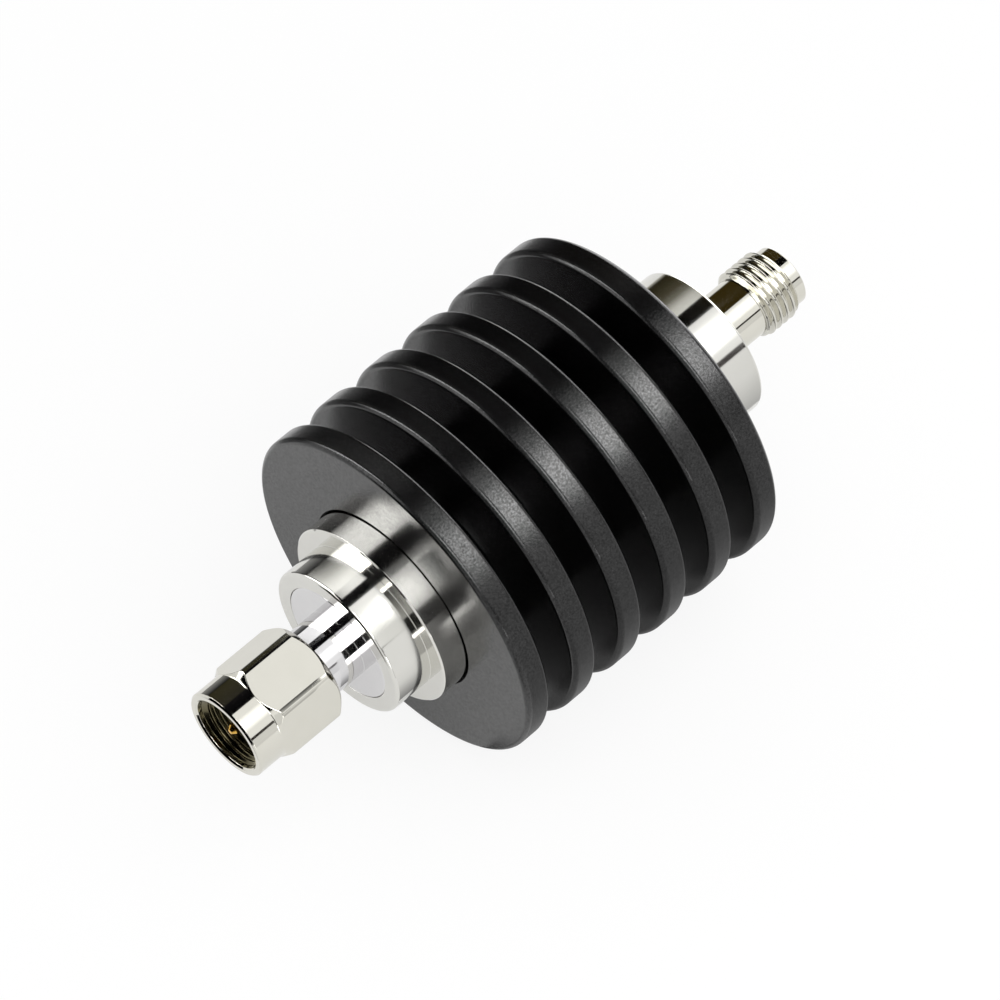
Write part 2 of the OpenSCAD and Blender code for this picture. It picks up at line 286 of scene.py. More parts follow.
@dataclass(frozen=True)
class Finish:
    """Finish of a surface: what it is made of and how it was made.

    Attributes:
        title: name of the material.
        colour: main colour.
        drift: colour that it drifts to in soft clouds.
        metallic: 1 for a metal, 0 for the rest.
        roughness: middle roughness.
        spread: how far the roughness strays to each side.
        relief: what the fine relief follows.
        spacing: width of the relief's marks, in millimetres.
        height: height of the relief, in millimetres.
        cloud: width of the clouds of colour and roughness, in millimetres.
        ior: index of refraction. A metal keeps Blender's own value.
        depth: how far light travels inside, in millimetres, or 0.
        pits: how far the relief's hollows dim the shine and its crests lift it.
    """

    title: str
    colour: str
    drift: str
    metallic: float
    roughness: float
    spread: float
    relief: Relief
    spacing: float
    height: float
    cloud: float
    ior: float | None = None
    depth: float = 0.0
    pits: float = 0.0

    def material(self) -> bpy.types.Material:
        """Gives the finish's material, made at its first use.

        Returns:
            The material with its node tree.
        """
        found = bpy.data.materials.get(self.title)
        if found:
            return found
        made = bpy.data.materials.new(self.title)
        made.use_nodes = True
        tree = made.node_tree
        shader = tree.nodes["Principled BSDF"]
        shader.inputs["Metallic"].default_value = self.metallic
        if self.ior:
            shader.inputs["IOR"].default_value = self.ior
        if self.depth:
            shader.inputs["Subsurface Weight"].default_value = 1.0
            shader.inputs["Subsurface Radius"].default_value = (self.depth * MM,) * 3
            shader.inputs["Subsurface Scale"].default_value = 1.0
        place = add_node(tree, "ShaderNodeTexCoord").outputs["Object"]
        self.add_clouds(tree, shader, place)
        self.add_relief(tree, shader, place)
        return made

    def add_clouds(self, tree: Tree, shader: bpy.types.Node, place: Socket) -> None:
        """Lets colour and roughness drift in soft clouds.

        Args:
            tree: node tree of the material.
            shader: its surface shader.
            place: coordinates on the piece, in metres.
        """
        cloud = add_node(tree, "ShaderNodeTexNoise", {
            "Vector": place, "Scale": 1 / (self.cloud * MM), "Detail": CLOUD_DETAIL})
        shade = add_node(tree, "ShaderNodeMix", {
            "Factor": cloud.outputs["Fac"], "A": linear(self.colour), "B": linear(self.drift)},
            data_type="RGBA")
        gloss = add_node(tree, "ShaderNodeMapRange", {
            "Value": cloud.outputs["Fac"],
            "To Min": self.roughness - self.spread, "To Max": self.roughness + self.spread})
        tree.links.new(shade.outputs["Result"], shader.inputs["Base Color"])
        tree.links.new(gloss.outputs["Result"], shader.inputs["Roughness"])

    def add_relief(self, tree: Tree, shader: bpy.types.Node, place: Socket) -> None:
        """Gives the surface its fine relief.

        Rings are noise read at (x, sqrt(y * y + z * z)), which is the same all round the axis.

        Args:
            tree: node tree of the material.
            shader: its surface shader.
            place: coordinates on the piece, in metres.
        """
        where = place
        if self.relief is Relief.RINGS:
            part = add_node(tree, "ShaderNodeSeparateXYZ", {"Vector": place})
            flat = add_node(tree, "ShaderNodeCombineXYZ", {
                "X": part.outputs["Y"], "Y": part.outputs["Z"]})
            radius = add_node(tree, "ShaderNodeVectorMath", {0: flat.outputs["Vector"]},
                              operation="LENGTH")
            where = add_node(tree, "ShaderNodeCombineXYZ", {
                "X": part.outputs["X"], "Y": radius.outputs["Value"]}).outputs["Vector"]
        marks = add_node(tree, "ShaderNodeTexNoise", {
            "Vector": where, "Scale": 1 / (self.spacing * MM), "Detail": MARKS_DETAIL})
        bump = add_node(tree, "ShaderNodeBump", {
            "Height": marks.outputs["Fac"], "Distance": self.height * MM})
        tree.links.new(bump.outputs["Normal"], shader.inputs["Normal"])
        if self.pits:
            shine = add_node(tree, "ShaderNodeMapRange", {
                "Value": marks.outputs["Fac"],
                "From Min": NOISE_RANGE[0], "From Max": NOISE_RANGE[1],
                "To Min": MIDDLE_SHINE - self.pits, "To Max": MIDDLE_SHINE + self.pits})
            tree.links.new(shine.outputs["Result"], shader.inputs["Specular IOR Level"])


# Aluminium, blasted with fine grit and dyed black in the anodising bath: a deep black satin
# skin, faintly grainy, that turns grey where it is seen at a low angle. The grit is drawn
# coarser than life so that it shows.
BLACK_ANODISED = Finish("anodised_aluminium_blasted", "#040404", "#080808", 0.0, 0.22, 0.03,
                        Relief.GRAIN, 0.16, 0.008, 3.0, ior=1.5, pits=0.2)
# Brass, turned, polished and plated with bright nickel: a slightly warm mirror with hardly
# visible rings from the lathe.
BRIGHT_NICKEL = Finish("nickel_plate_polished", "#d8d6cd", "#d2d0c6", 1.0, 0.07, 0.015,
                       Relief.RINGS, 0.1, 0.0004, 2.0)
# The same plate from another bath: the mirror is a neutral silver.
NEUTRAL_NICKEL = replace(BRIGHT_NICKEL, title="nickel_plate_neutral", colour="#dad9d9",
                         drift="#d4d3d4", height=0.0001)
# Brass, fine turned and plated with nickel: a silver, barely warm, whose reflections are soft.
SATIN_NICKEL = replace(NEUTRAL_NICKEL, title="nickel_plate_fine_turned", colour="#dad9d4",
                       drift="#d4d3cd", roughness=0.1)
# The same plate in the thread's depth and the bores behind it, thin and left as the tap cut it, and
# made darker as painted shade of the nut's hollow: dark and olive.
SHADED_THREAD_NICKEL = Finish("nickel_plate_in_thread_painted_shade", "#6e6850", "#544f3c", 1.0, 0.2, 0.05,
                       Relief.RINGS, 0.1, 0.001, 1.0)
# Copper alloy under a thin gold plate: yellow and soft in its shine.
GOLD_PLATE = Finish("gold_plate_satin", "#e2b75e", "#d7a749", 1.0, 0.2, 0.04,
                    Relief.RINGS, 0.08, 0.0006, 1.0)
# Spring bronze, rolled and bare: brown and a little dull.
SPRING_BRONZE = Finish("spring_bronze_rolled", "#bb9250", "#a97d3e", 1.0, 0.32, 0.06,
                       Relief.RINGS, 0.1, 0.001, 1.0)
# Copper, milled and turned: red with tool marks.
COPPER = Finish("copper_machined", "#c9855c", "#b97048", 1.0, 0.28, 0.06,
                Relief.RINGS, 0.15, 0.002, 2.0)
# Silicone rubber, moulded: dark red and matt.
SILICONE = Finish("silicone_rubber_moulded", "#7a3020", "#6a2819", 0.0, 0.6, 0.05,
                  Relief.GRAIN, 0.2, 0.004, 1.0, ior=1.41)
# PTFE, turned from bar: waxy white with light inside it.
PTFE = Finish("ptfe_turned", "#f1efe8", "#e8e5dc", 0.0, 0.42, 0.05,
              Relief.RINGS, 0.12, 0.003, 1.5, ior=1.35, depth=0.4)
# Engineering plastic, turned: amber and slightly clear.
BEAD_PLASTIC = Finish("polyetherimide_turned", "#c4a066", "#b48d50", 0.0, 0.35, 0.05,
                      Relief.RINGS, 0.12, 0.002, 1.5, ior=1.65, depth=0.3)
# Alumina, fired, with a resistive film: pale and dry.
CERAMIC = Finish("alumina_fired", "#e2dfd8", "#d6d2c9", 0.0, 0.5, 0.05,
                 Relief.GRAIN, 0.06, 0.002, 0.8, ior=1.76)


def install(piece: bpy.types.Object, finish: Finish, body: str, node: str) -> None:
    """Dresses a new piece, lets it ride on a body and puts it in the place of a frame node.

    Args:
        piece: the new piece.
        finish: finish of all its faces.
        body: frame body that it moves with.
        node: frame node that it stands for.
    """
    piece.data.materials.append(finish.material())
    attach(piece, body)
    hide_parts(node)
    log.info("%s stands for %s: %d faces", piece.name, node, len(piece.data.polygons))


@dataclass
class HeatSink:
    """Black cooler: round fins turned from one bar, with a seat for the body's flange."""

    fin_count: int = 6
    fin_thickness: float = 2.37
    fin_bevel: float = 0.3
    middle_radius: float = 8.0
    bore_radius: float = 6.72
    seat_radius: float = 8.375
    seat_depth: float = 1.0
    edge_radius: float = 0.4
    root_radius: float = 0.15
    bore_edge: float = 0.05

    def build(self) -> None:
        """Builds and dresses the cooler.

        Each fin's outline runs up its front face, over two bevels and the rim, and down its
        rear face. The copies are the same outline moved along by the pitch.
        """
        low, high = box_of("heat_sink")
        rim, thickness, bevel = high.z, self.fin_thickness, self.fin_bevel
        pitch = (high.x - low.x - thickness) / (self.fin_count - 1)
        fin = np.array([
            (0, self.middle_radius), (0, rim - bevel), (bevel, rim),
            (thickness - bevel, rim), (thickness, rim - bevel), (thickness, self.middle_radius)])
        starts = low.x + pitch * np.arange(self.fin_count)
        fins = fin + starts[:, None, None] * np.array([1, 0])
        edge, root = self.edge_radius, self.root_radius
        radii = np.tile([root, edge, edge, edge, edge, root], (self.fin_count, 1))
        fins[0, 0, 1], fins[-1, -1, 1] = self.seat_radius, self.bore_radius
        radii[0, 0] = radii[-1, -1] = self.bore_edge
        seat_floor = low.x + self.seat_depth
        bore = [(seat_floor, self.bore_radius), (seat_floor, self.seat_radius)]
        corners = np.vstack([fins.reshape(-1, 2), bore])
        softness = np.append(radii.ravel(), [self.bore_edge] * 2)
        piece = put_piece("finned_cooler", [turned(corners, softness, even_columns())])
        install(piece, BLACK_ANODISED, "body", "heat_sink")


@dataclass
class CoreBody:
    """Plated body: the collar, the flange against the cooler and the tail behind it."""

    outer_radius: float = 6.7
    collar_length: float = 3.5
    flange_length: float = 3.4
    flange_bevel: float = 0.12
    end_bevel: float = 0.15
    insert_radius: float = 5.27
    insert_depth: float = 3.0
    chamber_radius: float = 5.0
    edge_radius: float = 0.04
    end_radius: float = 0.25

    def build(self) -> None:
        """Builds and dresses the body from one outline, outside first and then the bores."""
        low, high = box_of("core_body")
        front, rear, flange = low.x, high.x, high.z
        outer, bevel, end = self.outer_radius, self.flange_bevel, self.end_bevel
        shoulder = front + self.collar_length
        corners = [
            (front, self.insert_radius), (front, outer - end), (front + end, outer),
            (shoulder, outer), (shoulder, flange - bevel), (shoulder + bevel, flange),
            (shoulder + self.flange_length, flange), (shoulder + self.flange_length, outer),
            (rear - end, outer), (rear, outer - end), (rear, self.insert_radius),
            (rear - self.insert_depth, self.insert_radius),
            (rear - self.insert_depth, self.chamber_radius),
            (front + self.insert_depth, self.chamber_radius),
            (front + self.insert_depth, self.insert_radius)]
        end_corners = [1, 2, 8, 9]
        radii = np.full(len(corners), self.edge_radius)
        radii[end_corners] = self.end_radius
        piece = put_piece("plated_body", [turned(corners, radii, even_columns())])
        install(piece, SATIN_NICKEL, "body", "core_body")


@dataclass
class PlugShell:
    """Shell of the plug: tube, gasket step, shank with ring groove and wide rear, flange and barrel."""

    tube_radius: float = 2.29
    tube_length: float = 2.0
    step_radius: float = 2.5
    step_length: float = 0.6
    shank_radius: float = 2.7
    shank_length: float = 6.3
    wide_radius: float = 3.0
    wide_length: float = 3.05
    groove_radius: float = 2.45
    groove_middle: float = 4.15
    groove_width: float = 0.54
    flange_length: float = 3.0
    seam_bevel: float = 0.08
    barrel_radius: float = 4.98
    line_radius: float = 2.07
    bead_radius: float = 2.52
    bead_length: float = 10.0
    edge_radius: float = 0.03

    def build(self) -> None:
        """Builds and dresses the shell from one outline, outside first and then the bores."""
        low, high = box_of("plug_shell")
        front, rear, flange = low.x, high.x, high.z
        step = front + self.tube_length
        shank = step + self.step_length
        collar = shank + self.shank_length
        barrel = collar + self.flange_length
        groove_front = self.groove_middle - self.groove_width / 2
        groove_rear = self.groove_middle + self.groove_width / 2
        corners = [
            (front, self.line_radius), (front, self.tube_radius), (step, self.tube_radius),
            (step, self.step_radius), (shank, self.step_radius), (shank, self.shank_radius),
            (groove_front, self.shank_radius), (groove_front, self.groove_radius),
            (groove_rear, self.groove_radius), (groove_rear, self.shank_radius),
            (collar - self.wide_length, self.shank_radius),
            (collar - self.wide_length, self.wide_radius), (collar, self.wide_radius),
            (collar, flange - self.seam_bevel),
            (collar + self.seam_bevel, flange), (barrel, flange), (barrel, self.barrel_radius),
            (rear, self.barrel_radius), (rear, self.bead_radius),
            (rear - self.bead_length, self.bead_radius),
            (rear - self.bead_length, self.line_radius)]
        rows = turned(corners, self.edge_radius, even_columns())
        piece = put_piece("plug_body", [rows])
        install(piece, NEUTRAL_NICKEL, "body", "plug_shell")


@dataclass(frozen=True)
class Thread:
    """Right-hand thread with rounded crests and roots.

    Attributes:
        pitch: distance from one turn to the next.
        depth: height of the ridges.
        flat: share of the pitch that the crest takes.
    """

    pitch: float = 25.4 / 36
    depth: float = 0.42
    flat: float = 0.12

    def ridge(self, station: np.ndarray, angle: np.ndarray) -> np.ndarray:
        """Gives the ridge's height from 0 at the root to 1 on the crest.

        The phase is station / pitch - angle / one turn. With w as the distance in phase from
        the middle of the crest, the flank share is s = (0.5 - w) / (0.5 - flat / 2), held
        between 0 and 1, and the height is the smooth step s * s * (3 - 2 s).

        Args:
            station: stations along the axis.
            angle: angles about the axis.

        Returns:
            Heights in the shape that the two inputs give together.
        """
        phase = station / self.pitch - angle / (2 * math.pi)
        away = np.abs(phase - np.round(phase))
        share = np.clip((0.5 - away) / (0.5 - self.flat / 2), 0, 1)
        return share * share * (3 - 2 * share)

    def stations(self, start: float, end: float, per_turn: int) -> np.ndarray:
        """Gives stations close enough to draw the ridges, from start to end."""
        count = int(abs(end - start) / self.pitch * per_turn) + 2
        return np.linspace(start, end, count)


@dataclass
class CouplingNut:
    """Hexagon nut with a round nose, turned-off corners and a thread in its bore."""

    flats: float = 7.94
    hexagon_length: float = 6.1
    turn_deg: float = 43.5
    corner_radius: float = 0.75
    cone_length: float = 0.85
    nose_radius: float = 3.94
    bevel: float = 0.15
    edge: float = 0.04
    mouth_radius: float = 3.25
    mouth_length: float = 0.5
    thread_radius: float = 2.87
    thread_end: float = 1.2
    relief_radius: float = 3.15
    relief_end: float = 2.75
    bearing_radius: float = 2.75
    groove_radius: float = 3.12
    groove_front: float = 3.75
    groove_rear: float = 4.55
    thread: Thread = Thread(depth=0.26)
    flat_points: int = 32
    corner_points: int = 12
    soft_share: float = 0.35
    cone_share: float = 0.3
    rows_per_turn: int = 16

    def outline(self) -> tuple[np.ndarray, np.ndarray, np.ndarray]:
        """Works out the hexagon's rounded outline.

        One sixth is a flat at half the width over flats, (h, s) for s from -l to l with
        l = (h - f) tan 30, and then an arc of radius f about (h - f, l). The other sixths are
        this one turned by 60 degrees each.

        Returns:
            Polar angles and radii of the points, and the plane normals there.
        """
        half, fillet = self.flats / 2, self.corner_radius
        reach = (half - fillet) * math.tan(math.pi / 6)
        along = np.linspace(-reach, reach, self.flat_points)
        sweep = np.linspace(0, math.pi / 3, self.corner_points + 2)[1:-1]
        flat = np.stack([np.full_like(along, half), along], -1)
        lean = np.stack([np.cos(sweep), np.sin(sweep)], -1)
        arc = (half - fillet, reach) + fillet * lean
        points = np.vstack([flat, arc])
        normals = np.vstack([np.tile((1.0, 0.0), (self.flat_points, 1)), lean])
        turn = math.radians(self.turn_deg) + np.arange(6) * math.pi / 3
        ahead = np.stack([np.cos(turn), np.sin(turn)], -1)
        spin = np.stack([ahead, quarter_left(ahead)], 1)
        points, normals = (np.einsum("pi,kij->kpj", part, spin).reshape(-1, 2)
                           for part in (points, normals))
        return np.arctan2(points[:, 1], points[:, 0]), np.hypot(*points.T), normals

    def hexagon(self, front: float, rear: float) -> Rows:
        """Makes the rows of the hexagon between its two turned-off ends.

        The front cone grows from the nose's radius to that of a sharp corner over the cone's
        length, and the rear cone has 45 degrees. A cone cuts the flats where its radius
        reaches the outline's. Rows a little to both sides of the cut soften its edge.

        Args:
            front: station where the front cone starts, at the nose's radius.
            rear: station of the rear face.

        Returns:
            The rows from front to rear.
        """
        around, radius, flat_normals = self.outline()
        sharp = self.flats / 2 / math.cos(math.pi / 6)
        slope = self.cone_length / (sharp - self.nose_radius)
        rear_radius = self.flats / 2 - self.bevel
        front_cut, rear_cut = radius - self.nose_radius, radius - rear_radius
        front_soft = np.minimum(self.edge, self.soft_share * front_cut)
        rear_soft = np.minimum(self.edge, self.soft_share * rear_cut)
        front_part, rear_part = self.cone_share * front_cut, self.cone_share * rear_cut
        stations = np.stack([
            front + front_part * slope, front + (front_cut - front_soft) * slope,
            front + front_cut * slope + front_soft, rear - rear_cut - rear_soft,
            rear - rear_cut + rear_soft, rear - rear_part])
        radii = np.stack([
            self.nose_radius + front_part, radius - front_soft, radius,
            radius, radius - rear_soft, rear_radius + rear_part])
        directions = np.stack([np.cos(around), np.sin(around)], -1)
        places = np.concatenate([stations[..., None], radii[..., None] * directions], -1)
        front_lean, rear_lean = math.atan(1 / slope), math.pi / 4
        front_side, rear_side = math.cos(front_lean) * directions, math.cos(rear_lean) * directions
        sides = np.stack([front_side, front_side, flat_normals, flat_normals, rear_side, rear_side])
        lean = np.sin([-front_lean, -front_lean, 0, 0, rear_lean, rear_lean])[:, None, None]
        normals = np.concatenate([np.broadcast_to(lean, (*stations.shape, 1)), sides], -1)
        return Rows(places, normals)

    def bore_radius_at(self, station: np.ndarray, angle: np.ndarray) -> np.ndarray:
        """Gives the threaded bore's radius: ridges inwards, cut away by the mouth's cone.

        Args:
            station: stations along the axis.
            angle: angles about the axis.

        Returns:
            Radii in the shape that the two inputs give together.
        """
        low, _ = box_of("coupling_nut")
        root = self.thread_radius + self.thread.depth
        cone = self.mouth_radius - (station - low.x - self.mouth_length)
        return np.maximum(root - self.thread.depth * self.thread.ridge(station, angle), cone)

    def build(self) -> None:
        """Builds and dresses the nut: hexagon, rear bores, thread, then mouth and nose."""
        low, high = box_of("coupling_nut")
        front, rear = low.x, high.x
        hexagon_front = rear - self.hexagon_length
        around, _, _ = self.outline()
        rear_radius = self.flats / 2 - self.bevel
        behind = turned([
            (rear, rear_radius), (rear, self.bearing_radius),
            (self.groove_rear, self.bearing_radius), (self.groove_rear, self.groove_radius),
            (self.groove_front, self.groove_radius), (self.groove_front, self.bearing_radius),
            (self.relief_end, self.bearing_radius), (self.relief_end, self.relief_radius),
            (self.thread_end, self.relief_radius)], self.edge, around, closed=False)
        mouth_rear = front + self.mouth_length
        rows = self.thread.stations(
            self.thread_end - self.edge, mouth_rear + self.edge, self.rows_per_turn)
        inside = threaded(self.bore_radius_at, rows, around, -1)
        ahead = turned([
            (mouth_rear, self.mouth_radius), (front + self.bevel, self.mouth_radius),
            (front, self.mouth_radius + self.bevel), (front, self.nose_radius - self.bevel),
            (front + self.bevel, self.nose_radius),
            (hexagon_front - self.edge, self.nose_radius)], self.edge, around, closed=False)
        blocks = [self.hexagon(hexagon_front, rear), behind, inside, ahead]
        piece = put_piece("hexagon_nut", blocks)
        install(piece, BRIGHT_NICKEL, "nut", "coupling_nut")
        # The thread and the bores behind it take the darker plate, which is partly painted shade.
        piece.data.materials.append(SHADED_THREAD_NICKEL.material())
        finish = np.repeat([0, 1, 1, 0], [block.places[..., 0].size for block in blocks])
        piece.data.polygons.foreach_set("material_index", finish.astype(np.int32))


@dataclass
class JackShell:
    """Shell of the jack: barrel and flange in the body, shank, thread, pilot tip and bores."""

    barrel_radius: float = 4.98
    insert_radius: float = 5.25
    insert_length: float = 3.0
    seam_bevel: float = 0.08
    shank_radius: float = 2.62
    shank_length: float = 4.6
    thread_radius: float = 3.1
    thread_length: float = 3.4
    thread_bevel: float = 0.3
    pilot_radius: float = 2.65
    pilot_length: float = 1.1
    pilot_bevel: float = 0.12
    counterbore_radius: float = 2.31
    counterbore_length: float = 1.93
    line_radius: float = 2.07
    bead_radius: float = 2.52
    bead_length: float = 10.0
    edge_radius: float = 0.03
    thread: Thread = Thread()
    rows_per_turn: int = 24

    def thread_front(self) -> float:
        """Gives the station where the thread starts."""
        _, high = box_of("jack_shell")
        return high.x - self.pilot_length - self.thread_length

    def radius_at(self, station: np.ndarray, angle: np.ndarray) -> np.ndarray:
        """Gives the thread's radius: ridges on the root, cut by a 45-degree bevel at each end.

        Args:
            station: stations along the axis.
            angle: angles about the axis.

        Returns:
            Radii in the shape that the two inputs give together.
        """
        start = self.thread_front()
        inset = np.minimum(station - start, start + self.thread_length - station)
        cone = self.thread_radius - self.thread_bevel + inset
        root = self.thread_radius - self.thread.depth
        return np.minimum(root + self.thread.depth * self.thread.ridge(station, angle), cone)

    def build(self) -> None:
        """Builds and dresses the shell: the thread, then all the rest from the pilot round."""
        low, high = box_of("jack_shell")
        front, rear = low.x, high.x
        start = self.thread_front()
        end = start + self.thread_length
        body_rear = start - self.shank_length
        insert = body_rear - self.insert_length
        bead_rear = front + self.bead_length
        reference = rear - self.counterbore_length
        around = even_columns()
        rows = self.thread.stations(start, end, self.rows_per_turn)
        ridges = threaded(self.radius_at, rows, around, 1)
        rest = turned([
            (end, self.pilot_radius), (rear - self.pilot_bevel, self.pilot_radius),
            (rear, self.pilot_radius - self.pilot_bevel), (rear, self.counterbore_radius),
            (reference, self.counterbore_radius), (reference, self.line_radius),
            (bead_rear, self.line_radius), (bead_rear, self.bead_radius),
            (front, self.bead_radius), (front, self.barrel_radius),
            (insert, self.barrel_radius), (insert, self.insert_radius),
            (body_rear - self.seam_bevel, self.insert_radius),
            (body_rear, self.insert_radius - self.seam_bevel), (body_rear, self.shank_radius),
            (start, self.shank_radius)], self.edge_radius, around, closed=False)
        piece = put_piece("jack_body", [ridges, rest])
        install(piece, BRIGHT_NICKEL, "body", "jack_shell")


class Inside:
    """Pieces that keep their frame meshes: contacts, insulators, seals and the element."""

    def finishes(self) -> dict[str, Finish]:
        """Gives the finish of each frame node that is shown as it is.

        Returns:
            Finishes by the name of the node.
        """
        return {
            "nut_retaining_ring": SPRING_BRONZE, "plug_gasket": SILICONE,
            "plug_centre_pin": GOLD_PLATE, "jack_contact": GOLD_PLATE,
            "plug_lead_tab": GOLD_PLATE, "jack_lead_tab": GOLD_PLATE,
            "plug_dielectric": PTFE, "jack_dielectric": PTFE,
            "plug_support_bead": BEAD_PLASTIC, "jack_support_bead": BEAD_PLASTIC,
            "attenuator_chip": CERAMIC, "chip_carrier": COPPER, "carrier_cap": COPPER}

    def build(self) -> None:
        """Dresses the frame nodes."""
        for node, finish in self.finishes().items():
            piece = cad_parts[node]
            piece.data.materials.clear()
            piece.data.materials.append(finish.material())
            log.info("%s is finished as %s", node, finish.title)


@dataclass(frozen=True)
class Glow:
    """Light that a studio panel shows to polished surfaces.

    Attributes:
        colours: colours in even steps across the panel.
        strength: factor on the colours.
    """

    colours: tuple[str, ...]
    strength: float = 1.0

    def across(self, count: int) -> np.ndarray:
        """Blends the colours over points across the panel.

        Args:
            count: number of points.

        Returns:
            Linear colours shaped points by 4.
        """
        stops = np.array([linear(code) for code in self.colours])
        share = np.linspace(0, 1, count)
        even = np.linspace(0, 1, len(stops))
        return np.stack([np.interp(share, even, channel) for channel in stops.T], -1)


def put_panel(name: str, points: np.ndarray, glow: Glow) -> None:
    """Makes a studio panel that shows only in reflections.

    Args:
        name: name of the panel.
        points: two rows of points in millimetres, shaped 2 by columns by 3.
        glow: light across the columns.
    """
    columns = points.shape[1]
    index = np.arange(2 * columns).reshape(2, columns)
    faces = np.stack([index[0, :-1], index[1, :-1], index[1, 1:], index[0, 1:]], -1)
    mesh = bpy.data.meshes.new(name)
    mesh.from_pydata((points.reshape(-1, 3) * MM).tolist(), [], faces.tolist())
    light = mesh.attributes.new("light", "FLOAT_COLOR", "POINT")
    light.data.foreach_set("color", np.tile(glow.across(columns), (2, 1)).ravel())
    paint = bpy.data.materials.new(name)
    paint.use_nodes = True
    # Shadow rays pass through panels, so sampling them as lamps would show one through another.
    paint.cycles.emission_sampling = "NONE"
    tree = paint.node_tree
    colour = add_node(tree, "ShaderNodeAttribute", attribute_name="light")
    shine = add_node(tree, "ShaderNodeEmission", {
        "Color": colour.outputs["Color"], "Strength": glow.strength})
    tree.links.new(shine.outputs["Emission"], tree.nodes["Material Output"].inputs["Surface"])
    mesh.materials.append(paint)
    panel = bpy.data.objects.new(name, mesh)
    panel.visible_camera = False
    panel.visible_diffuse = False
    panel.visible_shadow = False
    bpy.context.scene.collection.objects.link(panel)


@dataclass(frozen=True)
class Bend:
    """Studio panel bent round the part's axis.

    Attributes:
        name: name of the panel.
        low: first angle about the axis, in degrees from +Y towards +Z.
        high: last angle.
        front: first station along the axis, in millimetres.
        rear: last station.
        distance: radius of the bend, in millimetres.
        glow: light from the first angle to the last.
    """

    name: str
    low: float
    high: float
    front: float
    rear: float
    distance: float
    glow: Glow

    def build(self) -> None:
        """Builds the panel: (x, R cos a, R sin a) over its stations and angles."""
        angle = np.radians(np.linspace(self.low, self.high, BEND_POINTS))
        ends = np.array([[self.front, self.distance], [self.rear, self.distance]])
        put_panel(self.name, carry_round(ends, angle), self.glow)


@dataclass(frozen=True)
class Wall:
    """Upright studio panel across the part's axis.

    Attributes:
        name: name of the panel.
        station: its place along the axis, in millimetres.
        sides: its reach along Y.
        heights: its reach along Z.
        glow: light from the first side to the last.
    """

    name: str
    station: float
    sides: Pair
    heights: Pair
    glow: Glow

    def build(self) -> None:
        """Builds the panel as one flat strip."""
        side = np.linspace(*self.sides, 2)
        rows = [np.stack([np.full(2, self.station), side, np.full(2, height)], -1)
                for height in self.heights]
        put_panel(self.name, np.stack(rows), self.glow)


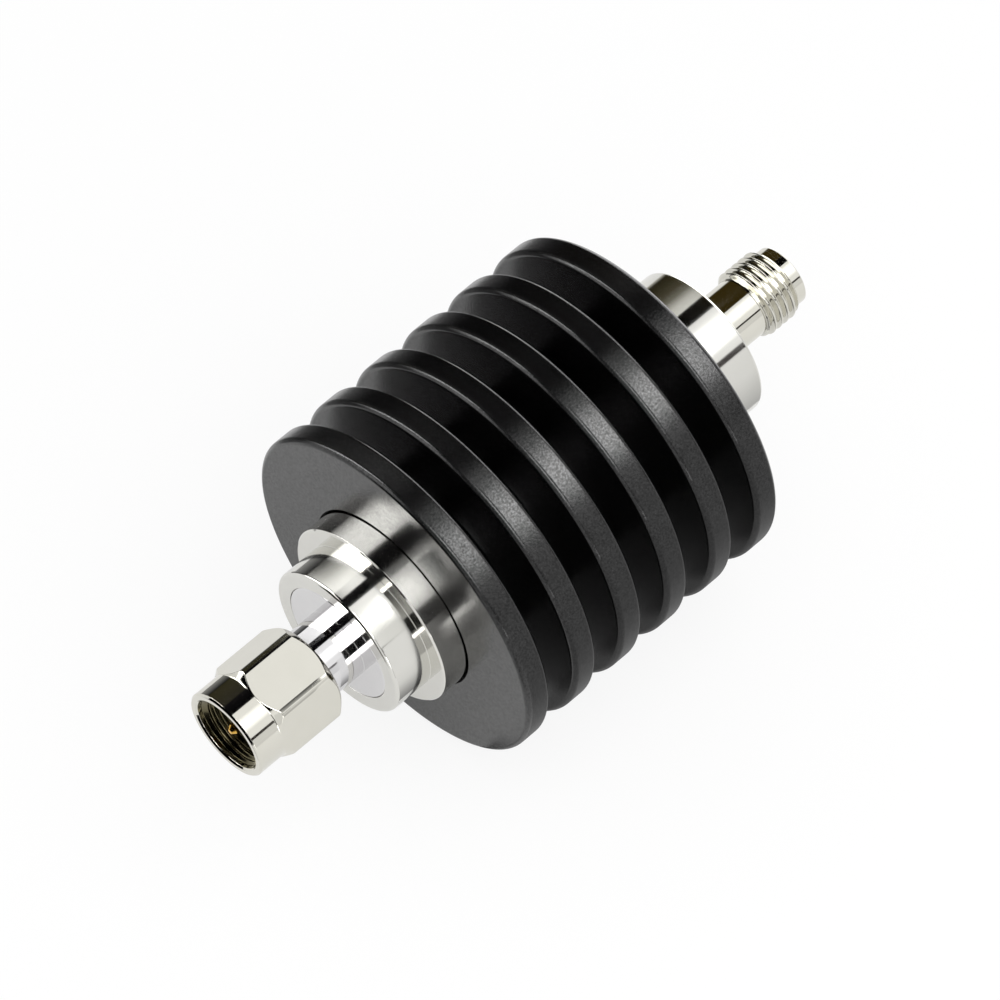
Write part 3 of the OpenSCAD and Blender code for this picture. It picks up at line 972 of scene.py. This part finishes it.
@dataclass
class Studio:
    """Pale floor, a soft lamp, panels for the metal to reflect, and the camera."""

    floor_half: float = 3000.0
    backdrop_colour: str = "#ffffff"
    seen_share: float = 0.86
    mirrored_share: float = 0.45
    ambient: float = 0.7
    mirrored: float = 0.9
    lamp_angle: float = 122.0
    lamp_distance: float = 300.0
    lamp_half_angle: float = 34.0
    lamp_length: float = 400.0
    lamp_brightness: float = 1.13
    azimuth: float = -44.38
    elevation: float = 57.73
    camera_distance: float = 539.8
    aim: tuple[float, float, float] = (27.07, 0.68, -0.28)
    lens: float = 249.4
    under: float = 17.0
    close: float = 20.0
    beside: float = 40.0
    near: float = 90.0
    strip_distance: float = 250.0
    far: float = 400.0

    def panels(self) -> list[Bend | Wall]:
        """Gives the panels whose reflections draw the bands on the plated pieces.

        The plated pieces stand one behind the other, so panels that lie side by side along
        the axis show on one piece each. The flange and the ring before it mirror panels that
        lie further forward.

        Returns:
            The panels, each with its place and its light.
        """
        under, close, near = self.under, self.close, self.near
        far, high = self.far, self.strip_distance
        nut, shank, collar, fins, tail, jack, thread = 10, 37.4, 40.3, 44.5, 78.6, 88.1, 95
        black, brown, dark = Glow(("#060606",)), Glow(("#3a3014",)), Glow(("#161517", "#060607"))
        white, line = Glow(("#ffffff",)), Glow(("#241a18",))
        soft = Glow(("#5a5a5a", "#ffffff", "#ffffff", "#5a5a5a"), 11.0)
        mild = Glow(("#c4c4c4", "#ffffff", "#ffffff", "#c4c4c4"), 2.0)
        # Name, first and last station, angle where side and top meet, light of the side, of the top
        sections = [
            ("nut", nut, shank, 62, Glow(("#34321f", "#3a3729", "#33312a")), dark),
            ("shank", shank, collar, 62, replace(white, strength=1.4), dark),
            ("collar", collar, fins, 74, Glow((
                "#232322", "#525250", "#a8a8a5", "#f8f8f6", "#ffffff"), 1.6), black),
            ("fins", fins, tail, 62, black, dark),
            ("tail", tail, jack, 68, Glow((
                "#221f14", "#322e20", "#3f3b2c", "#504c3e", "#7c7a70", "#dad9d4", "#f4f4f0")), black),
            ("jack", jack, thread, 62, brown, brown),
            ("thread", thread, far, 62, brown, black)]
        return [
            *(Bend(f"side_{name}", -6, top, front, rear, near, side)
              for name, front, rear, top, side, _ in sections),
            *(Bend(f"over_{name}", top, 89, front, rear, near, over)
              for name, front, rear, top, _, over in sections),
            Bend("edge_of_sides", -9.5, -2, nut, far, near - 1, Glow(("#c8c6be", "#3a372a"))),
            Bend("over_front", 62, 89, -far, nut, near, dark),
            Bend("card_for_flange", 4, 62, -28, -6, near, Glow((
                "#595959", "#c2c2c2", "#f9f9f9", "#ffffff", "#fbfbfb", "#efefef"), 8.6)),
            Bend("card_for_bevels", 18, 62, -125, -50, near, replace(white, strength=2.0)),
            Bend("soft_box_face", 88, 156, -far, far, self.lamp_distance, replace(
                white, strength=self.lamp_brightness)),
            Bend("strip_by_nut", 104, 140, 70, 106, high, mild),
            Bend("strip_by_fins", 97, 140, 106, 148.9, high, soft),
            Bend("strip_by_tail", 104, 140, 148.9, 160, high, mild),
            Bend("strip_by_jack", 93, 140, 160, 200, high, mild),
            Bend("strip_for_flange", 97, 140, -120, -50, high, replace(mild, strength=10.0)),
            Bend("card_over_collar", 89, 121, collar, fins, near, replace(white, strength=1.3)),
            Bend("grey_by_collar", 121, 188, collar, fins, near, Glow(("#ededea", "#ffffff"))),
            Bend("line_on_nose", 155, 161, nut, 30.9, near, line),
            Bend("line_on_shank", 155, 161, shank, collar, near, line),
            Bend("line_on_tail", 149, 160, tail, jack, near, line),
            Bend("line_on_jack", 155, 161, jack, far, near, line),
            Bend("line_for_flange", 141, 168, -30, -6, near, black),
            Bend("card_by_flange", 170, 189, -30, -6, near, Glow(("#ffffff", "#8a8a8a"), 7.0)),
            # These two hide most of the strip and the card for the flange from the ring's face.
            Bend("shade_by_ring", 103, 141, 5.6, 10.1, close, Glow((
                "#343434", "#7c7c7c", "#a8a8a8", "#c4c4c4"))),
            Bend("grey_by_ring", 166, 192, 5.6, 9.9, close, Glow(("#d8d8d8", "#d0d0d0"))),
            Bend("grey_beside", -17, 12, 1.5, 60, self.beside, Glow(("#9a9a9a", "#101010"))),
            # These three are painted shadow: grey panels close under the part that darken what its
            # undersides mirror, as the floor's shadow there would.
            Bend("painted_shadow_under_collar", 150, 240, 12, 16.2, under, Glow((
                "#ffffff", "#ffffff", "#ffffff", "#f3f3f3", "#bcbcbc", "#898989"))),
            Bend("painted_shadow_under_fins", 150, 262, 16.2, 47, under, Glow((
                "#f4f4f4", "#c4c4c4", "#adadad", "#959595", "#828282"))),
            Bend("painted_shadow_under_tail", 150, 262, 47, 55.5, under, Glow((
                "#ffffff", "#f9f9f9", "#e0e0e0", "#c4c4c4", "#b4b4b4"))),
            Wall("flag_before_mouth", -16.5, (-12, 20), (-15, 20), black),
            Wall("card_behind_jack", 105, (-10, 120), (-15, 80), replace(white, strength=3.0))]

    def light_path(self, tree: Tree) -> tuple[Socket, Socket]:
        """Adds nodes that tell rays that see the background from rays that light things.

        Args:
            tree: node tree of the floor or the world.

        Returns:
            Socket that is 1 for camera and transmission rays, and one that is 1 for glossy rays.
        """
        path = add_node(tree, "ShaderNodeLightPath")
        straight = add_node(tree, "ShaderNodeMath", {
            0: path.outputs["Is Camera Ray"], 1: path.outputs["Is Transmission Ray"]},
            operation="MAXIMUM")
        return straight.outputs["Value"], path.outputs["Is Glossy Ray"]

    def build_floor(self) -> None:
        """Builds the floor under the cooler: white where it is seen, and shaded by the part."""
        low = CAD_BOX[0].z
        half = self.floor_half * MM
        mesh = bpy.data.meshes.new("floor")
        mesh.from_pydata([(-half, -half, low), (half, -half, low), (half, half, low),
                          (-half, half, low)], [], [(0, 1, 2, 3)])
        floor = bpy.data.objects.new("floor", mesh)
        bpy.context.scene.collection.objects.link(floor)
        paint = bpy.data.materials.new("floor_white_paper")
        paint.use_nodes = True
        tree = paint.node_tree
        matt = add_node(tree, "ShaderNodeBsdfDiffuse", {"Color": linear(self.backdrop_colour)})
        straight, mirrored = self.light_path(tree)
        glow = add_node(tree, "ShaderNodeEmission")
        part = add_node(tree, "ShaderNodeMath", {0: mirrored, 1: self.mirrored_share},
                        operation="MULTIPLY")
        share = add_node(tree, "ShaderNodeMapRange", {
            "Value": straight, "To Min": part.outputs["Value"], "To Max": self.seen_share})
        mixed = add_node(tree, "ShaderNodeMixShader", {
            0: share.outputs["Result"], 1: matt.outputs["BSDF"], 2: glow.outputs["Emission"]})
        tree.links.new(mixed.outputs["Shader"], tree.nodes["Material Output"].inputs["Surface"])
        mesh.materials.append(paint)

    def build_world(self) -> None:
        """Makes the surroundings: white where they are seen, and dimmer as light."""
        world = bpy.data.worlds.new("studio")
        world.use_nodes = True
        tree = world.node_tree
        straight, mirrored = self.light_path(tree)
        level = add_node(tree, "ShaderNodeMapRange", {
            "Value": mirrored, "To Min": self.ambient, "To Max": self.mirrored})
        strength = add_node(tree, "ShaderNodeMapRange", {
            "Value": straight, "To Min": level.outputs["Result"], "To Max": 1.0})
        back = tree.nodes["Background"]
        back.inputs["Color"].default_value = linear(self.backdrop_colour)
        tree.links.new(strength.outputs["Result"], back.inputs["Strength"])
        bpy.context.scene.world = world

    def build_lamp(self) -> None:
        """Hangs a soft box that faces the axis. An area lamp's power is pi x area x brightness."""
        angle = math.radians(self.lamp_angle)
        width = 2 * self.lamp_distance * math.tan(math.radians(self.lamp_half_angle)) * MM
        length = self.lamp_length * MM
        lamp = bpy.data.lights.new("soft_box", "AREA")
        lamp.shape = "RECTANGLE"
        lamp.size, lamp.size_y = length, width
        lamp.energy = math.pi * length * width * self.lamp_brightness
        hung = bpy.data.objects.new("soft_box", lamp)
        outward = Vector((0, math.cos(angle), math.sin(angle)))
        axis = Vector((1, 0, 0))
        turn = Matrix((axis, outward.cross(axis), outward)).transposed()
        middle = Vector((self.aim[0], 0, 0)) * MM
        hung.matrix_world = Matrix.LocRotScale(middle + outward * self.lamp_distance * MM, turn, None)
        hung.visible_camera = False
        # In reflections the panel soft_box_face stands for the lamp.
        hung.visible_glossy = False
        bpy.context.scene.collection.objects.link(hung)

    def build_camera(self) -> None:
        """Sets the camera at the photograph's angle."""
        turn, rise = math.radians(self.azimuth), math.radians(self.elevation)
        back = Vector((math.sin(turn) * math.cos(rise), -math.cos(turn) * math.cos(rise),
                       math.sin(rise)))
        data = bpy.data.cameras.new("camera")
        data.lens = self.lens
        camera = bpy.data.objects.new("camera", data)
        camera.rotation_mode = "QUATERNION"
        camera.location = (Vector(self.aim) + back * self.camera_distance) * MM
        camera.rotation_quaternion = (-back).to_track_quat("-Z", "Y")
        bpy.context.scene.collection.objects.link(camera)
        bpy.context.scene.camera = camera

    def build(self) -> None:
        """Builds the whole studio."""
        self.build_floor()
        self.build_world()
        self.build_lamp()
        self.build_camera()
        for panel in self.panels():
            panel.build()
        bpy.context.scene.view_settings.view_transform = "Standard"
        log.info("studio is set")


def main() -> None:
    """Builds every sub-assembly in order and then the studio."""
    logging.basicConfig(level=logging.INFO, format="%(message)s")
    for part in (HeatSink(), CoreBody(), PlugShell(), CouplingNut(), JackShell(), Inside()):
        part.build()
    Studio().build()


if __name__ == "__main__":
    main()
